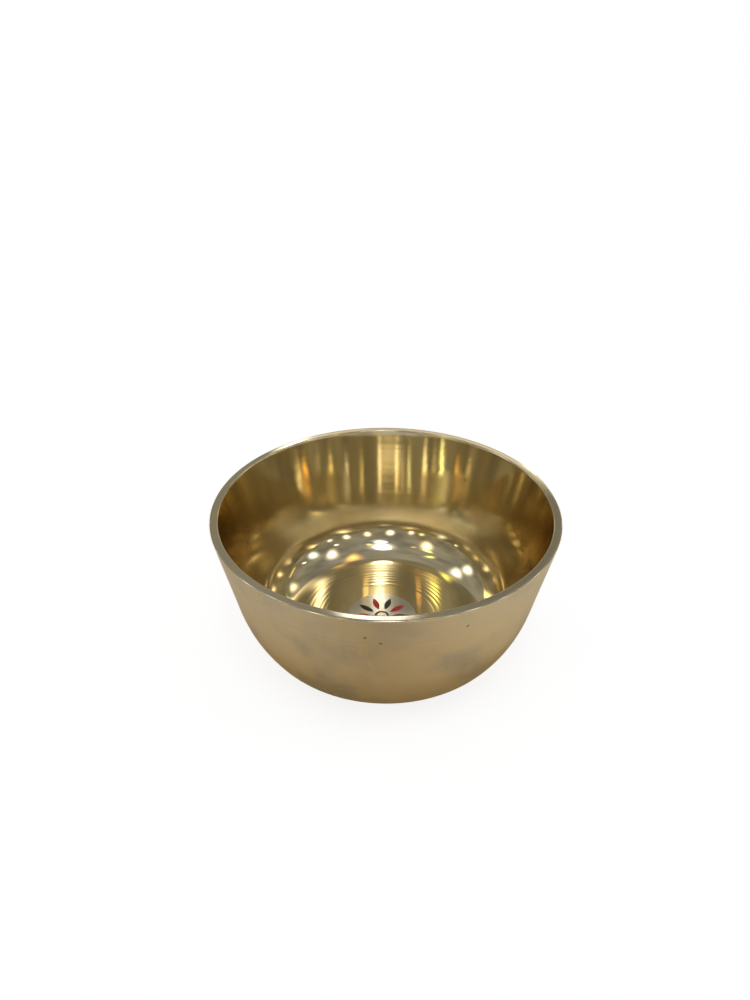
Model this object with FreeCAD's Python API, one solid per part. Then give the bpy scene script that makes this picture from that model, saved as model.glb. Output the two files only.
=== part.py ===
"""A cast and turned bronze singing bowl with a round stuck-on label on its inside floor.

Millimetres and degrees. +Z is up along the bowl's axis, and the origin is the centre of the
flat base that the bowl stands on.
"""

import FreeCAD, Part
import math
import os
from FreeCAD import Vector

# Bowl, overall
RIM_DIAMETER = 160.0
HEIGHT = 72.0
FLOOR_THICKNESS = 5.3
RIM_LAND = 3.75  # width of the flat top of the rim, over its two rounded edges
RIM_EDGE_RADIUS = 0.45

# Outside wall: straight below the rim, then a wide belly arc, then the heel down to the base
OUTER_LEAN = 11.75  # from the vertical
OUTER_BELLY_RADIUS = 64.0
OUTER_HEEL_LEAN = 32.0  # where the belly arc meets the heel arc
OUTER_HEEL_RADIUS = 24.0

# Inside wall, in the same three stretches
INNER_LEAN = 14.0
INNER_BELLY_RADIUS = 30.0
INNER_HEEL_LEAN = 18.0
INNER_HEEL_RADIUS = 22.0

# Lines left by the turning tool, as shallow V grooves
TOOL_LINE_DEPTH_BELOW_RIM = 14.5
TOOL_LINE_HALF_WIDTH = 0.4
TOOL_LINE_DEPTH = 0.12
FLOOR_GROOVE_RADII = (26.1, 29.0, 31.2, 33.4, 35.3, 38.6, 41.1)
FLOOR_GROOVE_HALF_WIDTH = 0.28
FLOOR_GROOVE_DEPTH = 0.1

# Label: a round printed film, set a little off the bowl's centre
LABEL_DIAMETER = 35.0
LABEL_THICKNESS = 0.15
LABEL_OFFSET_X = -1.4
INK_THICKNESS = 0.04

# Print on the label: a plain ring with pointed petals round it, black and red by turns
PRINT_RING_RADIUS = 3.2
PRINT_LINE_WIDTH = 1.1
PETAL_COUNT = 10
PETAL_INNER_RADIUS = 5.2
PETAL_OUTER_RADIUS = 14.2
PETAL_WIDTH = 3.0

AXIS_POINT = Vector(0, 0, 0)
UP = Vector(0, 0, 1)
RIM_RADIUS = RIM_DIAMETER / 2
FLOOR_LEVEL = FLOOR_THICKNESS
LABEL_TOP = FLOOR_LEVEL + LABEL_THICKNESS


class Outline:
    """A closed profile in the X-Z plane, drawn edge by edge as (radius, height) points."""

    def __init__(self, radius, height):
        self.start = Vector(radius, 0, height)
        self.at = self.start
        self.edges = []

    def line(self, radius, height):
        end = Vector(radius, 0, height)
        self.edges.append(Part.LineSegment(self.at, end).toShape())
        self.at = end

    def arc(self, centre, size, to_angle):
        """An arc about centre, from here to the angle given, counted up from +X."""
        from_angle = math.degrees(math.atan2(self.at.z - centre[1], self.at.x - centre[0]))
        middle = Vector(*around(centre, size, (from_angle + to_angle) / 2))
        end = Vector(*around(centre, size, to_angle))
        self.edges.append(Part.Arc(self.at, middle, end).toShape())
        self.at = end

    def revolved(self):
        if not self.at.isEqual(self.start, 1e-9):
            self.line(self.start.x, self.start.z)
        face = Part.Face(Part.Wire(self.edges))
        return face.revolve(AXIS_POINT, UP, 360)


def around(centre, size, angle):
    """The point at this angle and distance from centre, as x, y and z."""
    turn = math.radians(angle)
    return centre[0] + size * math.cos(turn), 0, centre[1] + size * math.sin(turn)


def wall_arcs(radius, height, lean, belly, heel_lean, heel, level):
    """Where a wall's three stretches meet, working down from a point on its straight stretch.

    The belly arc is tangent to the straight stretch, and the heel arc to the belly arc and to
    the flat at this level. Returns the foot of the straight stretch and the two arc centres.
    """
    top_turn, heel_turn = math.radians(lean), math.radians(heel_lean)
    belly_drop = belly * (math.sin(heel_turn) - math.sin(top_turn))
    heel_drop = heel * (1 - math.sin(heel_turn))
    straight_drop = height - level - belly_drop - heel_drop
    foot = (radius - straight_drop * math.tan(top_turn), height - straight_drop)
    belly_centre = (foot[0] - belly * math.cos(top_turn), foot[1] + belly * math.sin(top_turn))
    gap = belly - heel
    heel_centre = (
        belly_centre[0] + gap * math.cos(heel_turn),
        belly_centre[1] - gap * math.sin(heel_turn),
    )
    return foot, belly_centre, heel_centre


def bowl():
    outer_edge = (RIM_RADIUS - RIM_EDGE_RADIUS, HEIGHT - RIM_EDGE_RADIUS)
    inner_edge = (RIM_RADIUS - RIM_LAND + RIM_EDGE_RADIUS, HEIGHT - RIM_EDGE_RADIUS)
    outer_top = around(outer_edge, RIM_EDGE_RADIUS, -OUTER_LEAN)
    inner_top = around(inner_edge, RIM_EDGE_RADIUS, 180 - INNER_LEAN)
    outer_foot, outer_belly, outer_heel = wall_arcs(
        outer_top[0], outer_top[2], OUTER_LEAN, OUTER_BELLY_RADIUS,
        OUTER_HEEL_LEAN, OUTER_HEEL_RADIUS, 0,
    )
    inner_foot, inner_belly, inner_heel = wall_arcs(
        inner_top[0], inner_top[2], INNER_LEAN, INNER_BELLY_RADIUS,
        INNER_HEEL_LEAN, INNER_HEEL_RADIUS, FLOOR_LEVEL,
    )

    outline = Outline(0, 0)
    outline.line(outer_heel[0], 0)
    outline.arc(outer_heel, OUTER_HEEL_RADIUS, -OUTER_HEEL_LEAN)
    outline.arc(outer_belly, OUTER_BELLY_RADIUS, -OUTER_LEAN)
    tool_line(outline, outer_foot)
    outline.line(outer_top[0], outer_top[2])
    outline.arc(outer_edge, RIM_EDGE_RADIUS, 90)
    outline.line(inner_edge[0], HEIGHT)
    outline.arc(inner_edge, RIM_EDGE_RADIUS, 180 - INNER_LEAN)
    outline.line(*inner_foot)
    outline.arc(inner_belly, INNER_BELLY_RADIUS, -INNER_HEEL_LEAN)
    outline.arc(inner_heel, INNER_HEEL_RADIUS, -90)
    for radius in reversed(FLOOR_GROOVE_RADII):
        outline.line(radius + FLOOR_GROOVE_HALF_WIDTH, FLOOR_LEVEL)
        outline.line(radius, FLOOR_LEVEL - FLOOR_GROOVE_DEPTH)
        outline.line(radius - FLOOR_GROOVE_HALF_WIDTH, FLOOR_LEVEL)
    outline.line(0, FLOOR_LEVEL)
    return outline.revolved()


def tool_line(outline, foot):
    """The groove in the outside wall's straight stretch, drawn on the way up from its foot."""
    slope = math.tan(math.radians(OUTER_LEAN))
    middle = HEIGHT - TOOL_LINE_DEPTH_BELOW_RIM
    for height, depth in (
        (middle - TOOL_LINE_HALF_WIDTH, 0),
        (middle, TOOL_LINE_DEPTH),
        (middle + TOOL_LINE_HALF_WIDTH, 0),
    ):
        outline.line(foot[0] + (height - foot[1]) * slope - depth, height)


def label_disc(radius, thickness, level):
    return Part.makeCylinder(radius, thickness, Vector(LABEL_OFFSET_X, 0, level), UP)


def print_ring():
    outer = label_disc(PRINT_RING_RADIUS + PRINT_LINE_WIDTH / 2, INK_THICKNESS, LABEL_TOP)
    inner = label_disc(PRINT_RING_RADIUS - PRINT_LINE_WIDTH / 2, INK_THICKNESS, LABEL_TOP)
    return outer.cut(inner)


def petal(angle):
    """One pointed petal of two equal arcs, its length along the radius at this angle."""
    tip = Vector(PETAL_OUTER_RADIUS, 0, 0)
    root = Vector(PETAL_INNER_RADIUS, 0, 0)
    waist = Vector((PETAL_INNER_RADIUS + PETAL_OUTER_RADIUS) / 2, PETAL_WIDTH / 2, 0)
    far_waist = Vector(waist.x, -waist.y, 0)
    sides = [Part.Arc(root, waist, tip).toShape(), Part.Arc(tip, far_waist, root).toShape()]
    solid = Part.Face(Part.Wire(sides)).extrude(Vector(0, 0, INK_THICKNESS))
    solid.rotate(AXIS_POINT, UP, angle)
    solid.translate(Vector(LABEL_OFFSET_X, 0, LABEL_TOP))
    return solid


def petals(first):
    """Every second petal, starting with this one."""
    return [petal(360 / PETAL_COUNT * number) for number in range(first, PETAL_COUNT, 2)]


def main():
    nodes = {
        "bowl": bowl(),
        "label_film": label_disc(LABEL_DIAMETER / 2, LABEL_THICKNESS, FLOOR_LEVEL),
        "label_print_black": Part.makeCompound([print_ring(), *petals(0)]),
        "label_print_red": Part.makeCompound(petals(1)),
    }
    os.makedirs("parts", exist_ok=True)
    for name, shape in nodes.items():
        shape.exportStep(f"parts/{name}.step")
        print(name, shape.isValid(), len(shape.Solids), round(shape.Volume, 1))


main()
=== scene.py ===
"""A cast and turned bronze singing bowl with a round label on its inside floor, standing on a pale floor."""
import math

import bpy
import numpy as np
from mathutils import Matrix, Vector


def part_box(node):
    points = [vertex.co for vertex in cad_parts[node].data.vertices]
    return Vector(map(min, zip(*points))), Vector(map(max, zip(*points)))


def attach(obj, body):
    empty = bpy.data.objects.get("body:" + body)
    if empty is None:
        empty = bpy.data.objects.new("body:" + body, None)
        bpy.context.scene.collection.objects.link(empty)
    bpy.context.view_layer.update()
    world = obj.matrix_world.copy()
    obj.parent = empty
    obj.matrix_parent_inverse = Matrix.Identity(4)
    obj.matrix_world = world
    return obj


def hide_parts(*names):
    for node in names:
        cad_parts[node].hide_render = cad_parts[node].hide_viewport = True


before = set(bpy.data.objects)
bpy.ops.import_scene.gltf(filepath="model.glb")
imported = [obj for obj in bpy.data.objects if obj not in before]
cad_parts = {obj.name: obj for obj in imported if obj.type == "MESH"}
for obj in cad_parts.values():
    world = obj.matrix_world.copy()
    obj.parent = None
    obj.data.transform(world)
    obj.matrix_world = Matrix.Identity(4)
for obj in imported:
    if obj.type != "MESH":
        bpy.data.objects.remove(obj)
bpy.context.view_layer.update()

MM = 0.001  # lengths below are millimetres unless their comment says otherwise
BODY = "root"

# The bowl's overall size, from the frame
bowl_low, bowl_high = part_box("bowl")
label_low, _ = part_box("label_film")
RIM_RADIUS = round((bowl_high.x - bowl_low.x) / 2 / MM)
HEIGHT = bowl_high.z / MM
FLOOR_LEVEL = label_low.z / MM
LEVEL_TOLERANCE = 0.01

# The wall, as the CAD model has it. Belly and heel are the radii of arcs, and the leans are
# degrees from the vertical.
RIM_LAND = 3.75  # width of the flat top of the rim, over its two rounded edges
RIM_EDGE_RADIUS = 0.45
OUTER_WALL = {"lean": 11.75, "belly": 64.0, "heel_lean": 32.0, "heel": 24.0}
INNER_WALL = {"lean": 14.0, "belly": 30.0, "heel_lean": 18.0, "heel": 22.0}

# Lines left by the turning tool
FLOOR_GROOVES = (26.1, 29.0, 31.2, 33.4, 35.3, 38.6, 41.1)  # radii
GROOVE_HALF_WIDTH = 0.28
GROOVE_DEPTH = 0.022
TOOL_LINE_BELOW_RIM = 14.5
TOOL_LINE_HALF_WIDTH = 0.5
TOOL_LINE_DEPTH = 0.07
TOOL_LINE_HEIGHT = HEIGHT - TOOL_LINE_BELOW_RIM
TOOL_LINE_EDGES = (TOOL_LINE_HEIGHT - TOOL_LINE_HALF_WIDTH, TOOL_LINE_HEIGHT + TOOL_LINE_HALF_WIDTH)

# Waves left by the turning tool inside, clear of the label
RIPPLE_LENGTHS = (2.6, 3.3, 4.3, 5.9, 8.5)
RIPPLE_SLOPE = 0.06  # steepest slope of each wave, in degrees
RIPPLE_FROM_RADIUS = 22
RIPPLE_SEED = 3

# Dents left by finishing the outside by hand. Their places along the profile are radius plus height.
DENT_COUNT = 170
DENT_STRETCH = (52, 134)
DENT_SIZES = (4.0, 11.0)
DENT_DEPTHS = (0.0024, 0.012)  # over a dent's own size
DENT_WIDENING = 1.2  # how much wider a dent is round the bowl than along the profile
DENT_FADE_BELOW_LINE = 6
DENT_SHARE_ABOVE_LINE = 0.12
DENT_FADE_ABOVE_BASE = 4
DENT_SEED = 11

# Spacing of the mesh's points
AROUND = 340  # points in each ring round the bowl
BASE_STEP = 3.0
OUTSIDE_STEP = 1.3
TOOL_LINE_STEP = 0.25
RIM_STEP = 0.45
RIM_EDGE_STEP = 0.16
INSIDE_STEP = 0.7
HEEL_STEP = 0.6
FLOOR_STEP = 1.0
POLE_RADIUS = 1.0  # of the small fans that close the mesh on its axis

# The camera, placed about the centre of the rim. Angles are degrees.
CAMERA_DISTANCE = 346.2
CAMERA_HEIGHT_ANGLE = 32.63  # of the camera, seen from the rim's centre
CAMERA_PITCH = 32.2  # below the horizontal
CAMERA_PAN = 0.95
LENS = 27.0
GLOSSY_BOUNCES = 12
MAX_BOUNCES = 14

# Metal colours, linear
BRONZE = (0.80, 0.71, 0.50)
BRONZE_AGED = (0.78, 0.66, 0.40)
BRONZE_SATIN = (0.77, 0.67, 0.47)
BRONZE_PALE = (0.82, 0.745, 0.58)
BRONZE_GREY = (0.63, 0.565, 0.445)
# painted shade: a darker bronze laid on the duller places inside, where it dims the reflections of the lamps
BRONZE_PAINTED_SHADE = (0.62, 0.51, 0.31)
BRONZE_WARM = (0.85, 0.71, 0.46)
RIM_BRONZE = (0.77, 0.70, 0.55)
PIT = (0.25, 0.19, 0.10)
SPECK = (0.45, 0.34, 0.19)

# Label colours, linear. Each ink is fresh, then worn.
FILM_COLOURS = ((0.60, 0.55, 0.46), (0.72, 0.67, 0.58))
BLACK_INK = ((0.012, 0.012, 0.012), (0.05, 0.048, 0.045))
RED_INK = ((0.55, 0.02, 0.02), (0.65, 0.08, 0.06))

# Roughness of each surface, from its smoothest places to its roughest
INSIDE_ROUGHNESS = (0.035, 0.065)
RIM_ROUGHNESS = (0.06, 0.11)
OUTSIDE_ROUGHNESS = (0.26, 0.34)
OUTSIDE_MOTTLE_ROUGHNESS = (0.0, 0.06)
FILM_ROUGHNESS = (0.2, 0.26)
INK_ROUGHNESS = (0.35, 0.5)

# Where the inside is duller, and where its colour is painted darker as painted shade that dims the
# reflections there.
# The first number of a pair is where the dullness starts, and the second is where it is complete.
BAND_FOOT = (16, 20)  # heights of the band above the heel
BAND_TOP = (34, 27)
SIDES_ASIDE = (56, 65)  # distances to either side of the axis
SIDES_BACK = (2, 10)  # distances behind the axis
CORNERS_ASIDE = (40, 50)
CORNERS_FOOT = (14, 19)  # heights
CORNERS_TOP = (46, 40)
DULL_ROUGHNESS = 0.16  # added where the inside is dull
SIDES_POLISH = (0.35, 0.75)  # share of it left out at the left side and at the right side
LEFT_TO_RIGHT = (-20, 20)

# Small marks on the walls: x, y and height
WALL_PIT = (42.7, 57.2, 52.2)
PIT_SIZE = 1.4
WALL_SPECKS = ((32.3, -71.1, 62.6), (-7.4, -77.6, 61.7), (-1.4, -77.3, 58.6))
SPECK_SIZE = 1.7

# Floor colours, linear: what the camera sees, then the table top that the bowl reflects instead. The table
# top has painted shade along its middle, painted light on its two sides and a painted shadow round the bowl's
# foot.
FLOOR_COLOUR = (0.37, 0.39, 0.43)
FLOOR_GLOW = (0.82, 0.82, 0.82)
# painted shade along the table's middle, and painted light on its two sides, the right side brighter
TABLE_PAINTED_SHADE = (0.61, 0.52, 0.41)
TABLE_LEFT_PAINTED_LIGHT = (0.76, 0.69, 0.60)
TABLE_RIGHT_PAINTED_LIGHT = (0.84, 0.77, 0.66)
TABLE_FAR = (0.90, 0.88, 0.82)
# a painted shadow round the bowl's foot
TABLE_PAINTED_SHADOW = (0.50, 0.40, 0.25)
TABLE_GLOW = 0.14

# Where one floor colour gives way to the next, as distances from the bowl's middle. The first two
# pairs are along X.
TABLE_TO_LEFT = (-10, -90)
TABLE_TO_RIGHT = (10, 80)
TABLE_TO_FAR = (350, 800)
TABLE_TO_PAINTED_SHADOW = (92, 76)
FLOOR_TO_WHITE = (250, 700)
FLOOR_HALF_SIZE = 6000

# Room colours, linear, and how high up one gives way to the next, from 0 level to 1 straight up
ROOM_LOW = (0.46, 0.44, 0.38)
ROOM_MIDDLE = (0.27, 0.25, 0.195)
ROOM_HIGH = (0.29, 0.285, 0.268)
LOW_TO_MIDDLE = (0.04, 0.25)
MIDDLE_TO_HIGH = (0.45, 0.8)
ROOM_UNEVENNESS = (0.72, 1.28)

# Light colours, linear
WHITE = (1, 0.97, 0.93)
ICE = (0.80, 0.92, 1.0)
DAYLIGHT = (0.55, 0.70, 1.0)
CREAM = (1, 0.88, 0.62)
GREEN = (0.92, 1, 0.62)
LEMON = (0.95, 1.0, 0.25)
YELLOW = (1, 0.82, 0.34)
AMBER = (1, 0.75, 0.35)
ORANGE = (1, 0.56, 0.1)

LAMP_DISTANCE = 2.5  # metres
SPOT_SPREAD = 2.6  # size of the lamp over the size of its bright middle
SPOT_FALL = 2.5  # how steeply a spot dims away from its middle
STRIP_WIDTH = 5.5  # lamps wider than this, in degrees, and more than twice as wide as high are straight-sided

# Soft lamps: azimuth from +Y towards +X, elevation, width, height and tilt, all in degrees;
# colour; brightness. A tilt turns a lamp anticlockwise, as seen from the bowl.
SPOTS = (
    # behind the camera
    (125, 29, 3.0, 4.6, 0, WHITE, 3.8),
    (141, 34, 3.4, 8.0, 0, WHITE, 5.3),
    (162, 37, 3.4, 9.0, 0, CREAM, 5.3),
    (-175, 35, 4.2, 10.0, 0, WHITE, 5.7),
    (-155, 28, 3.0, 8.0, 0, CREAM, 4.8),
    (-145, 27, 3.2, 6.0, 0, YELLOW, 3.4),
    # to the right
    (83, 41, 1.6, 3.0, 0, CREAM, 7.6),
    (97, 41, 5.0, 11.0, 22, ICE, 5.5),
    (124, 46, 2.0, 3.0, 0, WHITE, 7.6),
    # higher up
    (97, 61, 4.5, 16.0, 49, WHITE, 5.2),
    (173, 75, 8.0, 12.5, 0, WHITE, 5.0),
    (170, 58, 7.0, 5.0, 0, ICE, 1.5),
    (-72, 45, 5.0, 13.0, -46, WHITE, 5.5),
    (-47, 57.5, 3.5, 14.0, -86, WHITE, 5.5),
    (-128, 53, 5.5, 16.0, -24, CREAM, 5.5),
    (34, 72.6, 3.0, 16.0, -52, ORANGE, 3.6),
    (41, 44.5, 3.5, 10.0, 68, CREAM, 4.6),
    (-113, 63.4, 4.4, 2.8, 0, LEMON, 6.5),
    (-79, 70, 2.4, 6.0, -48, LEMON, 3.6),
)

# Even lamps: azimuth, elevation, width, height and tilt, all in degrees; colour; brightness
STRIPS = (
    # panels high up
    (174, 62.5, 8.5, 7.0, 0, DAYLIGHT, 4.2),
    (173, 78, 9.0, 18.0, 0, DAYLIGHT, 4.0),
    (154, 67, 3.0, 6.0, 0, YELLOW, 1.2),
    (-134, 66, 3.0, 5.0, 0, ORANGE, 1.0),
    # a panel over the far side, which lights the front of the rim
    (-1, 42, 7.0, 4.5, 0, WHITE, 2.2),
    # lit shelves round both sides and the far side, low down
    (-119.5, 20.3, 8.0, 0.9, 17, ORANGE, 9.0),
    (-130, 19, 9.0, 1.3, 20, CREAM, 3.2),
    (-100, 23, 12.0, 0.8, 24, CREAM, 0.7),
    (-82, 23.5, 9.0, 1.7, 29, YELLOW, 2.2),
    (-87, 21, 4.0, 0.8, 20, WHITE, 1.9),
    (-59, 24, 9.0, 1.1, 40, WHITE, 3.3),
    (-36, 25.5, 7.0, 1.3, 50, YELLOW, 1.7),
    (5, 29, 28.0, 3.1, 0, CREAM, 0.7),
    (-9, 27, 7.0, 2.2, 90, WHITE, 2.0),
    (16, 27, 6.0, 2.0, -65, CREAM, 2.4),
    (25, 26, 8.0, 4.0, -55, CREAM, 0.5),
    (35, 26, 8.0, 1.4, -43, GREEN, 1.9),
    (57, 26, 8.0, 2.3, -33, CREAM, 2.5),
    (70, 25, 8.0, 4.0, -30, CREAM, 0.5),
    (79, 26, 6.5, 1.9, -28, GREEN, 2.8),
    (86, 22.5, 9.0, 1.9, -25, GREEN, 2.8),
    (91, 21, 5.4, 2.0, -20, WHITE, 4.5),
    (105, 22, 9.0, 0.9, -23, ORANGE, 2.6),
    (111, 19.5, 9.0, 1.9, -22, AMBER, 2.3),
    (121, 20, 8.0, 4.0, -22, YELLOW, 0.6),
    (70, 34.5, 12.0, 1.7, -10, ORANGE, 1.4),
)


# ---------------------------------------------------------------- camera

def make_camera():
    camera = bpy.data.objects.new("camera", bpy.data.cameras.new("camera"))
    bpy.context.scene.collection.objects.link(camera)
    turn = math.radians(CAMERA_HEIGHT_ANGLE)
    camera.location = (
        0,
        -CAMERA_DISTANCE * math.cos(turn) * MM,
        (HEIGHT + CAMERA_DISTANCE * math.sin(turn)) * MM,
    )
    camera.rotation_euler = (math.radians(90 - CAMERA_PITCH), 0, math.radians(CAMERA_PAN))
    camera.data.lens = LENS
    bpy.context.scene.camera = camera


# ---------------------------------------------------------------- node helper

class Graph:
    """A node tree, with short calls that add a node and return its socket."""

    def __init__(self, owner):
        owner.use_nodes = True
        self.tree = owner.node_tree
        self.tree.nodes.clear()

    def add(self, kind, inputs=(), **settings):
        node = self.tree.nodes.new(kind)
        for name, value in settings.items():
            setattr(node, name, value)
        for key, value in dict(inputs).items():
            if isinstance(value, bpy.types.NodeSocket):
                self.tree.links.new(value, node.inputs[key])
            else:
                node.inputs[key].default_value = value
        return node

    def math(self, operation, first, second=0.0):
        return self.add("ShaderNodeMath", {0: first, 1: second}, operation=operation).outputs[0]

    def both(self, first, second):
        return self.math("MULTIPLY", first, second)

    def either(self, first, second):
        return self.math("MAXIMUM", first, second)

    def between(self, value, low, high, to_low=0.0, to_high=1.0):
        """value moved from the range low to high into to_low to to_high, and held there."""
        inputs = {"Value": value, "From Min": low, "From Max": high, "To Min": to_low, "To Max": to_high}
        return self.add("ShaderNodeMapRange", inputs, clamp=True).outputs[0]

    def across(self, length, marks, to_low=0.0, to_high=1.0):
        """The same for a length, between two marks in millimetres."""
        return self.between(length, marks[0] * MM, marks[1] * MM, to_low, to_high)

    def blend(self, factor, first, second):
        """A colour from first to second as factor goes from 0 to 1."""
        node = self.add("ShaderNodeMix", data_type="RGBA")
        sockets = (("Factor_Float", factor), ("A_Color", first), ("B_Color", second))
        for identifier, value in sockets:
            socket = next(s for s in node.inputs if s.identifier == identifier)
            if isinstance(value, bpy.types.NodeSocket):
                self.tree.links.new(value, socket)
            else:
                socket.default_value = value if identifier == "Factor_Float" else (*value, 1)
        return next(s for s in node.outputs if s.identifier == "Result_Color")

    def bump(self, pattern, depth, normal=None):
        """depth is the height, in millimetres, of a step from 0 to 1 in the pattern."""
        inputs = {"Height": pattern, "Distance": depth * MM, "Strength": 1.0}
        if normal is not None:
            inputs["Normal"] = normal
        return self.add("ShaderNodeBump", inputs).outputs[0]

    def place(self):
        return self.add("ShaderNodeTexCoord").outputs["Object"]

    def noise(self, place, scale, detail=2.0, roughness=0.5):
        """scale counts the patches in each unit of the place. Most values are between 0.3 and 0.7."""
        inputs = {"Vector": place, "Scale": scale, "Detail": detail, "Roughness": roughness}
        return self.add("ShaderNodeTexNoise", inputs).outputs["Fac"]

    def turned_noise(self, turns, along, detail=2.0, roughness=0.5):
        """A pattern of streaks that run round the axis of a turned surface.

        turns counts the streaks in each radian round the axis. along counts them in each
        millimetre along the profile, measured as radius plus height.
        """
        parts = self.add("ShaderNodeSeparateXYZ", {0: self.place()}).outputs
        flat = self.add("ShaderNodeCombineXYZ", {0: parts[0], 1: parts[1]}).outputs[0]
        radius = self.add("ShaderNodeVectorMath", {0: flat}, operation="LENGTH").outputs["Value"]
        facing = self.add("ShaderNodeVectorMath", {0: flat}, operation="NORMALIZE").outputs[0]
        spread = self.add("ShaderNodeVectorMath", {0: facing, "Scale": turns}, operation="SCALE").outputs[0]
        split = self.add("ShaderNodeSeparateXYZ", {0: spread}).outputs
        travel = self.both(self.math("ADD", radius, parts[2]), along / MM)
        place = self.add("ShaderNodeCombineXYZ", {0: split[0], 1: split[1], 2: travel}).outputs[0]
        return self.noise(place, 1.0, detail, roughness)

    def speck(self, centre, size):
        """1 within a small round mark at this place, in millimetres, and 0 outside it."""
        inputs = {0: self.place(), 1: tuple(part * MM for part in centre)}
        away = self.add("ShaderNodeVectorMath", inputs, operation="DISTANCE").outputs["Value"]
        return self.across(away, (size / 2, size / 3))

    def surface(self, **sockets):
        inputs = {name.replace("_", " "): value for name, value in sockets.items()}
        shader = self.add("ShaderNodeBsdfPrincipled", inputs).outputs[0]
        self.add("ShaderNodeOutputMaterial", {"Surface": shader})


def new_material(name):
    material = bpy.data.materials.new(name)
    return material, Graph(material)


# ---------------------------------------------------------------- materials

def dullness(graph):
    """How dull the inside is in each place, from 0 to 1, and how much rougher that makes it. The inside's
    colour is also painted darker by this share, as painted shade.
    """
    parts = graph.add("ShaderNodeSeparateXYZ", {0: graph.place()}).outputs
    aside, back, height = graph.math("ABSOLUTE", parts[0]), parts[1], parts[2]
    band = graph.both(graph.across(height, BAND_FOOT), graph.across(height, BAND_TOP))
    sides = graph.both(graph.across(aside, SIDES_ASIDE), graph.across(back, SIDES_BACK))
    corners = graph.both(graph.across(aside, CORNERS_ASIDE), graph.across(height, CORNERS_TOP))
    corners = graph.both(corners, graph.across(height, CORNERS_FOOT))
    dull = graph.either(band, graph.either(sides, corners))
    polished = graph.both(sides, graph.across(parts[0], LEFT_TO_RIGHT, *SIDES_POLISH))
    rougher = graph.both(graph.math("SUBTRACT", dull, polished), DULL_ROUGHNESS)
    return dull, graph.either(rougher, 0.0)


def bronze_inside():
    """Polished bronze with the fine rings of turning, duller above the heel and at the two sides, where its
    colour is also painted darker as painted shade.
    """
    material, graph = new_material("bronze_inside")
    rings = graph.turned_noise(turns=1.2, along=1.6)
    fine_rings = graph.turned_noise(turns=3.0, along=8.0, roughness=0.6)
    haze = graph.turned_noise(turns=5.0, along=2.5, roughness=0.6)
    clouds = graph.noise(graph.place(), scale=38.0, detail=4.0, roughness=0.55)
    dull, rougher = dullness(graph)
    tint = graph.blend(graph.between(clouds, 0.35, 0.7), BRONZE, BRONZE_AGED)
    painted_shade_share = graph.between(clouds, 0.3, 0.7, to_low=0.8)
    # painted shade: the bronze is darkened where the inside is dull, to dim the reflections of the lamps
    # there
    tint = graph.blend(graph.both(dull, painted_shade_share), tint, BRONZE_PAINTED_SHADE)
    tint = graph.blend(graph.speck(WALL_PIT, PIT_SIZE), tint, PIT)
    rough = graph.between(graph.math("ADD", clouds, haze), 0.75, 1.3, *INSIDE_ROUGHNESS)
    rough = graph.math("ADD", rough, rougher)
    normal = graph.bump(rings, depth=0.0016)
    normal = graph.bump(fine_rings, depth=0.0025, normal=normal)
    graph.surface(Base_Color=tint, Metallic=1.0, Roughness=rough, Normal=normal)
    return material


def bronze_rim():
    """The flat top of the rim: ground round the circle, and handled."""
    material, graph = new_material("bronze_rim")
    lines = graph.turned_noise(turns=2.0, along=4.0, detail=3.0, roughness=0.6)
    wear = graph.noise(graph.place(), scale=60.0, detail=3.0, roughness=0.6)
    tint = graph.blend(graph.between(wear, 0.35, 0.7), RIM_BRONZE, BRONZE)
    rough = graph.between(wear, 0.3, 0.7, *RIM_ROUGHNESS)
    normal = graph.bump(lines, depth=0.001)
    graph.surface(Base_Color=tint, Metallic=1.0, Roughness=rough, Normal=normal)
    return material


def bronze_outside():
    """Satin bronze, finished by hand: soft patches of colour, faint lines round it and some specks."""
    material, graph = new_material("bronze_outside")
    place = graph.place()
    patches = graph.noise(place, scale=34.0, roughness=0.45)
    warm = graph.noise(place, scale=34.0, detail=3.0)
    mottle = graph.noise(place, scale=110.0, detail=3.0)
    lines = graph.turned_noise(turns=7.0, along=1.4)
    smears = graph.turned_noise(turns=5.0, along=0.03, detail=3.0)
    tint = graph.blend(graph.between(patches, 0.40, 0.60), BRONZE_AGED, BRONZE_SATIN)
    tint = graph.blend(graph.between(smears, 0.40, 0.60, to_high=0.85), tint, BRONZE_GREY)
    tint = graph.blend(graph.between(warm, 0.45, 0.58, to_high=0.9), tint, BRONZE_WARM)
    tint = graph.blend(graph.between(mottle, 0.5, 0.8, to_high=0.45), tint, BRONZE_PALE)
    height = graph.add("ShaderNodeSeparateXYZ", {0: place}).outputs[2]
    tint = graph.blend(graph.across(height, TOOL_LINE_EDGES, to_high=0.35), tint, RIM_BRONZE)
    for centre in WALL_SPECKS:
        tint = graph.blend(graph.speck(centre, SPECK_SIZE), tint, SPECK)
    rough = graph.between(patches, 0.42, 0.58, *OUTSIDE_ROUGHNESS)
    rough = graph.math("ADD", rough, graph.between(mottle, 0.3, 0.7, *OUTSIDE_MOTTLE_ROUGHNESS))
    normal = graph.bump(patches, depth=0.5)
    normal = graph.bump(mottle, depth=0.06, normal=normal)
    normal = graph.bump(lines, depth=0.0015, normal=normal)
    graph.surface(Base_Color=tint, Metallic=1.0, Roughness=rough, Normal=normal)
    return material


def label_film():
    """Satin silver film, a little creased."""
    material, graph = new_material("label_film")
    grain = graph.noise(graph.place(), scale=700.0)
    creases = graph.noise(graph.place(), scale=120.0)
    tint = graph.blend(creases, *FILM_COLOURS)
    rough = graph.between(grain, 0.3, 0.7, *FILM_ROUGHNESS)
    normal = graph.bump(creases, depth=0.006)
    normal = graph.bump(grain, depth=0.0006, normal=normal)
    graph.surface(Base_Color=tint, Metallic=0.7, Roughness=rough, Normal=normal)
    return material


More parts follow.
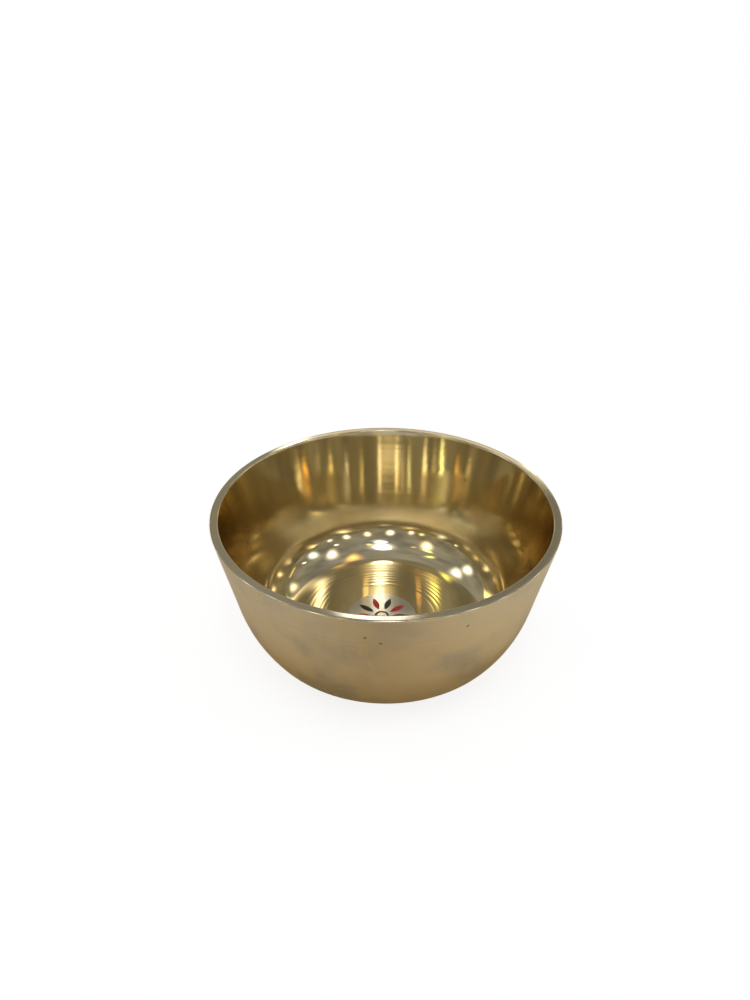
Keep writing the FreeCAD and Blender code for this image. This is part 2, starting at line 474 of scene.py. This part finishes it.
def ink(name, colour, worn_colour):
    material, graph = new_material(name)
    grain = graph.noise(graph.place(), scale=1500.0, detail=3.0, roughness=0.6)
    tint = graph.blend(graph.between(grain, 0.45, 0.75), colour, worn_colour)
    rough = graph.between(grain, 0.3, 0.7, *INK_ROUGHNESS)
    graph.surface(Base_Color=tint, Roughness=rough, Normal=graph.bump(grain, depth=0.002))
    return material


# ---------------------------------------------------------------- the turned profile

BASE, OUTSIDE, RIM, INSIDE = range(4)  # zones of the bowl's surface, and the slots of their materials


class Profile:
    """Points of a turned surface, each with its outward normal and the zone it belongs to."""

    def __init__(self):
        self.rows = []

    def point(self, radius, height, normal_angle, zone):
        turn = math.radians(normal_angle)
        row = (radius, height, math.cos(turn), math.sin(turn), zone)
        self.rows.append(row)

    def line(self, start, end, normal_angle, zone, step):
        count = max(1, round(math.dist(start, end) / step))
        for share in np.linspace(0, 1, count, endpoint=False):
            radius = start[0] + (end[0] - start[0]) * share
            height = start[1] + (end[1] - start[1]) * share
            self.point(radius, height, normal_angle, zone)

    def arc(self, centre, size, start_angle, end_angle, zone, step, hollow=False):
        """Hollow arcs have their normals towards the centre."""
        count = max(1, round(abs(math.radians(end_angle - start_angle)) * size / step))
        for angle in np.linspace(start_angle, end_angle, count, endpoint=False):
            radius, height = around(centre, size, angle)
            self.point(radius, height, angle + (180 if hollow else 0), zone)


def around(centre, size, angle):
    """The point at this angle and distance from centre, as radius and height."""
    turn = math.radians(angle)
    return centre[0] + size * math.cos(turn), centre[1] + size * math.sin(turn)


def wall_arcs(top, level, wall):
    """The foot of a wall's straight stretch, and the centres of its belly and heel arcs.

    The wall comes down from top, and its heel arc ends flat at this level.
    """
    lean, heel_lean = math.radians(wall["lean"]), math.radians(wall["heel_lean"])
    belly_drop = wall["belly"] * (math.sin(heel_lean) - math.sin(lean))
    heel_drop = wall["heel"] * (1 - math.sin(heel_lean))
    straight = top[1] - level - belly_drop - heel_drop
    foot = (top[0] - straight * math.tan(lean), top[1] - straight)
    belly = around(foot, wall["belly"], 180 - wall["lean"])
    heel = around(belly, wall["belly"] - wall["heel"], -wall["heel_lean"])
    return foot, belly, heel


def draw_outside(profile, top):
    """The base and the outer wall, up to this point at the foot of the rim's rounded edge."""
    lean, heel_lean = OUTER_WALL["lean"], OUTER_WALL["heel_lean"]
    foot, belly, heel = wall_arcs(top, 0, OUTER_WALL)
    profile.line((POLE_RADIUS, 0), (heel[0], 0), -90, BASE, BASE_STEP)
    profile.arc(heel, OUTER_WALL["heel"], -90, -heel_lean, OUTSIDE, OUTSIDE_STEP)
    profile.arc(belly, OUTER_WALL["belly"], -heel_lean, -lean, OUTSIDE, OUTSIDE_STEP)
    slope = math.tan(math.radians(lean))
    heights = (foot[1], *TOOL_LINE_EDGES, top[1])
    corners = [(foot[0] + (height - foot[1]) * slope, height) for height in heights]
    steps = (OUTSIDE_STEP, TOOL_LINE_STEP, OUTSIDE_STEP)
    for start, end, step in zip(corners, corners[1:], steps):
        profile.line(start, end, -lean, OUTSIDE, step)


def draw_inside(profile, top):
    """The inner wall, down from this point at the foot of the rim's rounded edge, and the floor."""
    lean, heel_lean = INNER_WALL["lean"], INNER_WALL["heel_lean"]
    foot, belly, heel = wall_arcs(top, FLOOR_LEVEL, INNER_WALL)
    profile.line(top, foot, 180 - lean, INSIDE, INSIDE_STEP)
    profile.arc(belly, INNER_WALL["belly"], -lean, -heel_lean, INSIDE, INSIDE_STEP, hollow=True)
    profile.arc(heel, INNER_WALL["heel"], -heel_lean, -90, INSIDE, HEEL_STEP, hollow=True)
    stops = [heel[0]]
    for ring in reversed(FLOOR_GROOVES):
        stops += [ring + GROOVE_HALF_WIDTH, ring, ring - GROOVE_HALF_WIDTH]
    stops.append(POLE_RADIUS)
    for start, end in zip(stops, stops[1:]):
        profile.line((start, FLOOR_LEVEL), (end, FLOOR_LEVEL), 90, INSIDE, FLOOR_STEP)
    profile.point(POLE_RADIUS, FLOOR_LEVEL, 90, INSIDE)


def bowl_profile():
    """The bowl's section from the middle of its base, over the rim, to the middle of its floor.

    Each row is a point's radius and height, its normal's two parts and its zone.
    """
    outer_edge = (RIM_RADIUS - RIM_EDGE_RADIUS, HEIGHT - RIM_EDGE_RADIUS)
    inner_edge = (RIM_RADIUS - RIM_LAND + RIM_EDGE_RADIUS, HEIGHT - RIM_EDGE_RADIUS)
    outer_turn = -OUTER_WALL["lean"]
    inner_turn = 180 - INNER_WALL["lean"]
    profile = Profile()
    draw_outside(profile, around(outer_edge, RIM_EDGE_RADIUS, outer_turn))
    profile.arc(outer_edge, RIM_EDGE_RADIUS, outer_turn, 90, RIM, RIM_EDGE_STEP)
    profile.line((outer_edge[0], HEIGHT), (inner_edge[0], HEIGHT), 90, RIM, RIM_STEP)
    profile.arc(inner_edge, RIM_EDGE_RADIUS, 90, inner_turn, RIM, RIM_EDGE_STEP)
    draw_inside(profile, around(inner_edge, RIM_EDGE_RADIUS, inner_turn))
    return np.array(profile.rows)


# ---------------------------------------------------------------- marks of turning and finishing

def groove(distance, half_width, depth):
    """The height of a smooth groove, which is below 0, at this distance from its middle."""
    return -depth * np.clip(1 - (distance / half_width) ** 2, 0, 1) ** 2


def turning_ripple(travel):
    """The waves that a turning tool leaves along the profile, as a height for each place."""
    random = np.random.default_rng(RIPPLE_SEED)
    height = np.zeros_like(travel)
    for length in RIPPLE_LENGTHS:
        size = math.radians(RIPPLE_SLOPE) * length / (2 * math.pi)
        height += size * np.sin(2 * math.pi * (travel / length + random.random()))
    return height


def hand_dents(angle, travel, radius):
    """Shallow flats and hollows left by finishing by hand, as a height for each place."""
    random = np.random.default_rng(DENT_SEED)
    height = np.zeros((travel.shape[0], angle.shape[1]))
    for _ in range(DENT_COUNT):
        centre_angle = random.uniform(-math.pi, math.pi)
        centre_travel = random.uniform(*DENT_STRETCH)
        size = random.uniform(*DENT_SIZES)
        depth = random.uniform(*DENT_DEPTHS) * size
        turn = (angle - centre_angle + math.pi) % (2 * math.pi) - math.pi
        away = np.hypot(turn * radius, (travel - centre_travel) * DENT_WIDENING) / size
        height -= depth * np.exp(-away ** 2)
    return height


def surface_marks(radius, height, zone, angle):
    """How far out along its normal each point moves for the marks of turning and finishing."""
    travel = radius + height
    marks = np.zeros((len(radius), AROUND))
    rippled = (zone == INSIDE) & (radius > RIPPLE_FROM_RADIUS)
    marks += np.where(rippled, turning_ripple(travel), 0)
    on_floor = (zone == INSIDE) & (height <= FLOOR_LEVEL + LEVEL_TOLERANCE)
    for ring in FLOOR_GROOVES:
        marks += np.where(on_floor, groove(radius - ring, GROOVE_HALF_WIDTH, GROOVE_DEPTH), 0)
    outside = zone == OUTSIDE
    line = groove(height - TOOL_LINE_HEIGHT, TOOL_LINE_HALF_WIDTH, TOOL_LINE_DEPTH)
    marks += np.where(outside, line, 0)
    below_line = np.clip((TOOL_LINE_HEIGHT - height) / DENT_FADE_BELOW_LINE, DENT_SHARE_ABOVE_LINE, 1)
    above_base = np.clip(height / DENT_FADE_ABOVE_BASE, 0, 1)
    dents = hand_dents(angle, travel, radius) * below_line * above_base
    marks += np.where(outside, dents, 0)
    return marks


# ---------------------------------------------------------------- meshes

def ring_faces(zones):
    """Faces between neighbouring rings of points and fans at the two ends, with each face's zone."""
    faces, slots = [], []
    for row, zone in enumerate(zones[:-1]):
        low, high = row * AROUND, (row + 1) * AROUND
        for k in range(AROUND):
            after = (k + 1) % AROUND
            faces.append((low + k, low + after, high + after, high + k))
            slots.append(zone)
    last_ring = (len(zones) - 1) * AROUND
    base_pole = len(zones) * AROUND
    floor_pole = base_pole + 1
    for k in range(AROUND):
        after = (k + 1) % AROUND
        faces.append((after, k, base_pole))
        slots.append(BASE)
        faces.append((last_ring + k, last_ring + after, floor_pole))
        slots.append(INSIDE)
    return faces, slots


def bowl_mesh():
    """The profile turned round the axis, as points, faces and material slots."""
    rows = bowl_profile()
    radius, height, normal_r, normal_z, zone = (rows[:, column][:, None] for column in range(5))
    angle = (np.arange(AROUND) * 2 * math.pi / AROUND)[None, :]
    marks = surface_marks(radius, height, zone, angle)
    marked_radius = radius + normal_r * marks
    x = marked_radius * np.cos(angle)
    y = marked_radius * np.sin(angle)
    z = height + normal_z * marks
    points = np.stack([x, y, z], -1).reshape(-1, 3) * MM
    poles = [(0, 0, 0), (0, 0, FLOOR_LEVEL * MM)]
    verts = [tuple(point) for point in points] + poles
    faces, slots = ring_faces([int(row[4]) for row in rows])
    return verts, faces, slots


def add_mesh(name, verts, faces, materials, slots=None):
    mesh = bpy.data.meshes.new(name)
    mesh.from_pydata(verts, [], faces)
    for material in materials:
        mesh.materials.append(material)
    if slots is not None:
        mesh.polygons.foreach_set("material_index", slots)
    mesh.polygons.foreach_set("use_smooth", [True] * len(faces))
    mesh.update()
    piece = bpy.data.objects.new(name, mesh)
    bpy.context.scene.collection.objects.link(piece)
    return piece


def make_bowl():
    outside = bronze_outside()
    materials = [outside, outside, bronze_rim(), bronze_inside()]  # one for each zone
    verts, faces, slots = bowl_mesh()
    bowl = add_mesh("turned_bowl", verts, faces, materials, slots)
    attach(bowl, BODY)
    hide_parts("bowl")


def paint(node, material):
    """Gives a CAD node that keeps its own shape this material."""
    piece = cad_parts[node]
    piece.data.materials.clear()
    piece.data.materials.append(material)


# ---------------------------------------------------------------- floor and surroundings

def table_colour(graph, away):
    """The table top's colours round the bowl's place, by the distance away from its middle: painted shade
    along the middle, painted light on the two sides and a painted shadow round the bowl's foot.
    """
    aside = graph.add("ShaderNodeSeparateXYZ", {0: graph.place()}).outputs[0]
    # painted shade along the middle, painted light towards the two sides
    table = graph.blend(graph.across(aside, TABLE_TO_LEFT), TABLE_PAINTED_SHADE, TABLE_LEFT_PAINTED_LIGHT)
    table = graph.blend(graph.across(aside, TABLE_TO_RIGHT), table, TABLE_RIGHT_PAINTED_LIGHT)
    table = graph.blend(graph.across(away, TABLE_TO_FAR), table, TABLE_FAR)
    # a painted shadow round the bowl's foot
    return graph.blend(graph.across(away, TABLE_TO_PAINTED_SHADOW), table, TABLE_PAINTED_SHADOW)


def glowing(graph, colour, glow_colour, glow):
    """A matt surface that also gives off its own light."""
    lit = graph.add("ShaderNodeBsdfDiffuse", {"Color": colour}).outputs[0]
    own_light = graph.add("ShaderNodeEmission", {"Color": glow_colour, "Strength": glow}).outputs[0]
    return graph.add("ShaderNodeAddShader", {0: lit, 1: own_light}).outputs[0]


def make_floor():
    """A plain pale floor. The bowl reflects it as a dimmer, warmer table top, with painted light on its two
    sides, brighter to its right, painted shade along its middle and a painted shadow round the bowl's foot.
    """
    material, graph = new_material("floor")
    away = graph.add("ShaderNodeVectorMath", {0: graph.place()}, operation="LENGTH").outputs["Value"]
    far = graph.across(away, FLOOR_TO_WHITE)
    colour = graph.blend(far, FLOOR_COLOUR, (0, 0, 0))
    glow_colour = graph.blend(far, FLOOR_GLOW, (1, 1, 1))
    seen = glowing(graph, colour, glow_colour, 1.0)
    table = table_colour(graph, away)
    reflected = glowing(graph, table, table, TABLE_GLOW)
    camera_ray = graph.add("ShaderNodeLightPath").outputs["Is Camera Ray"]
    mix = graph.add("ShaderNodeMixShader", {0: camera_ray, 1: reflected, 2: seen}).outputs[0]
    graph.add("ShaderNodeOutputMaterial", {"Surface": mix})
    half = FLOOR_HALF_SIZE * MM
    corners = [(-half, -half, 0), (half, -half, 0), (half, half, 0), (-half, half, 0)]
    floor = add_mesh("floor", corners, [(0, 1, 2, 3)], [material])


def make_world():
    """Soft surroundings, brightest at eye level. The camera sees plain white instead."""
    world = bpy.data.worlds.new("world")
    bpy.context.scene.world = world
    graph = Graph(world)
    direction = graph.add("ShaderNodeTexCoord").outputs["Generated"]
    up = graph.add("ShaderNodeSeparateXYZ", {0: direction}).outputs[2]
    colour = graph.blend(graph.between(up, *LOW_TO_MIDDLE), ROOM_LOW, ROOM_MIDDLE)
    colour = graph.blend(graph.between(up, *MIDDLE_TO_HIGH), colour, ROOM_HIGH)
    patches = graph.noise(direction, scale=3.5, detail=3.0)
    strength = graph.between(patches, 0.35, 0.65, *ROOM_UNEVENNESS)
    room = graph.add("ShaderNodeBackground", {"Color": colour, "Strength": strength}).outputs[0]
    white = graph.add("ShaderNodeBackground", {"Color": (1, 1, 1, 1)}).outputs[0]
    camera_ray = graph.add("ShaderNodeLightPath").outputs["Is Camera Ray"]
    mix = graph.add("ShaderNodeMixShader", {0: camera_ray, 1: room, 2: white}).outputs[0]
    graph.add("ShaderNodeOutputWorld", {"Surface": mix})


# ---------------------------------------------------------------- lamps

def make_lamp(name, azimuth, elevation, width, height, tilt, colour, brightness):
    """An area lamp in this direction that faces the bowl. Its width and height are seen from the bowl."""
    straight = width > STRIP_WIDTH and width > 2 * height
    data = bpy.data.lights.new(name, "AREA")
    data.shape = "RECTANGLE" if straight else "ELLIPSE"
    data.size = 2 * LAMP_DISTANCE * math.tan(math.radians(width / 2))
    data.size_y = 2 * LAMP_DISTANCE * math.tan(math.radians(height / 2))
    data.color = colour
    area = data.size * data.size_y * (1 if straight else math.pi / 4)
    data.energy = brightness * math.pi * area
    lamp = bpy.data.objects.new(name, data)
    bpy.context.scene.collection.objects.link(lamp)
    turn, rise = math.radians(azimuth), math.radians(elevation)
    away = Vector((math.sin(turn) * math.cos(rise), math.cos(turn) * math.cos(rise), math.sin(rise)))
    east = Vector((math.cos(turn), -math.sin(turn), 0))
    north = east.cross(away)
    lean = math.radians(tilt)
    along = east * math.cos(lean) + north * math.sin(lean)
    lamp.location = away * LAMP_DISTANCE
    lamp.rotation_euler = Matrix((along, away.cross(along), away)).transposed().to_euler()
    lamp.visible_camera = False
    return data


def soften(lamp_data):
    """Makes a lamp bright in the middle and dimmer towards its edge."""
    graph = Graph(lamp_data)
    place = graph.add("ShaderNodeNewGeometry").outputs["Parametric"]  # from 0 to 1 across the lamp
    inputs = {0: place, 1: (0.5, 0.5, 0)}
    away = graph.add("ShaderNodeVectorMath", inputs, operation="DISTANCE").outputs["Value"]
    strength = graph.math("POWER", graph.between(away, 0.5, 0.0), SPOT_FALL)
    shader = graph.add("ShaderNodeEmission", {"Strength": strength}).outputs[0]
    graph.add("ShaderNodeOutputLight", {"Surface": shader})


def make_lamps():
    for number, (azimuth, elevation, width, height, tilt, colour, brightness) in enumerate(SPOTS):
        size = (width * SPOT_SPREAD, height * SPOT_SPREAD)
        soften(make_lamp(f"spot_{number:02d}", azimuth, elevation, *size, tilt, colour, brightness))
    for number, strip in enumerate(STRIPS):
        make_lamp(f"strip_{number:02d}", *strip)


# ---------------------------------------------------------------- the scene

bpy.context.scene.view_settings.view_transform = "Standard"
bpy.context.scene.cycles.glossy_bounces = GLOSSY_BOUNCES
bpy.context.scene.cycles.max_bounces = MAX_BOUNCES
make_camera()
make_bowl()
paint("label_film", label_film())
paint("label_print_black", ink("ink_black", *BLACK_INK))
paint("label_print_red", ink("ink_red", *RED_INK))
make_floor()
make_world()
make_lamps()
